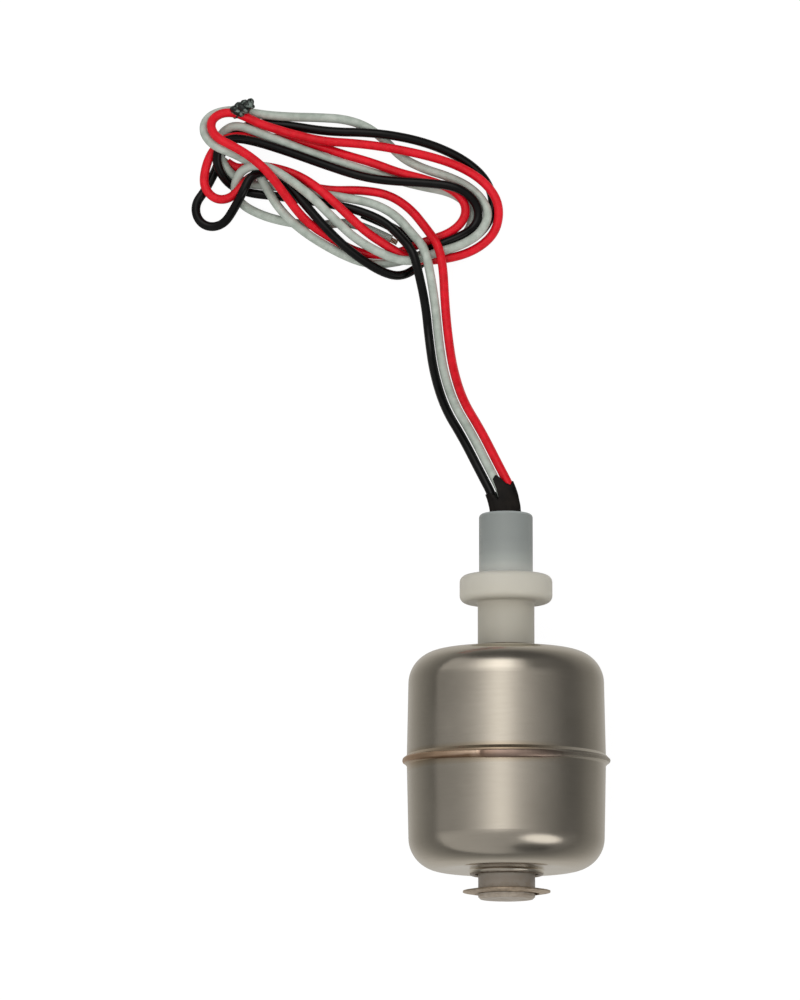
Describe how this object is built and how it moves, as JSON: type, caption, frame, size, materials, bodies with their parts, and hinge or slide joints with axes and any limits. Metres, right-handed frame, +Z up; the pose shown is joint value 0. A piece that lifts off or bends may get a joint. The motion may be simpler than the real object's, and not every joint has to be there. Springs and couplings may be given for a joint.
{
  "type": "level switch",
  "caption": "Magnetic float level switch: steel float sliding on a flanged plastic stem, with three leads in a loose hank.",
  "frame": {"origin": "on the ground plane, under the middle of the switch's own box (leads, hank, tie and sleeve apart)", "axes": "+Y along the stem from the clip towards the spigot and leads, +Z up from the surface the switch lies on"},
  "size_m": [0.0593, 0.1165, 0.0293],
  "materials": {
    "stem_plastic": "natural moulded plastic, slightly translucent",
    "clip_steel": "stamped spring steel",
    "potting": "cast resin",
    "sleeve": "shrunk sleeve",
    "reed_glass": "clear glass with a green cast",
    "reed_metal": "plated nickel iron",
    "solder": "soft solder",
    "copper": "tinned copper strands",
    "white_insulation": "extruded vinyl, satin",
    "black_insulation": "extruded vinyl, satin",
    "red_insulation": "extruded vinyl, satin",
    "float_steel": "drawn stainless steel, polished",
    "weld": "heat-tinted weld bead",
    "bore_weld": "weld bead",
    "ferrite": "sintered ferrite",
    "hank": "red, white and black leads together",
    "tie": "twisted tie"
  },
  "bodies": {
    "stem": {"stem_body": "stem_plastic", "retaining_clip": "clip_steel", "potting_plug": "potting", "lead_sleeve": "sleeve", "reed_glass": "reed_glass", "reed_common_blade": "reed_metal", "reed_rest_contact": "reed_metal", "reed_make_contact": "reed_metal", "solder_joint_white": "solder", "solder_joint_black": "solder", "solder_joint_red": "solder", "white_core": "copper", "black_core": "copper", "red_core": "copper", "white_tail": "white_insulation", "black_tail": "black_insulation", "red_tail": "red_insulation", "white_lead": "white_insulation", "black_lead": "black_insulation", "red_lead": "red_insulation", "lead_hank": "hank", "wire_tie": "tie"},
    "float": {"float_upper_shell": "float_steel", "float_lower_shell": "float_steel", "seam_weld": "weld", "float_bore_tube": "float_steel", "upper_bore_weld": "bore_weld", "lower_bore_weld": "bore_weld", "float_magnet": "ferrite", "upper_magnet_washer": "clip_steel", "lower_magnet_washer": "clip_steel"}
  },
  "joints": [
    {"name": "float_slide", "type": "slide", "parent": "stem", "child": "float", "axis": [0, 1, 0], "range_m": [-0.00185, 0.0061]}
  ]
}
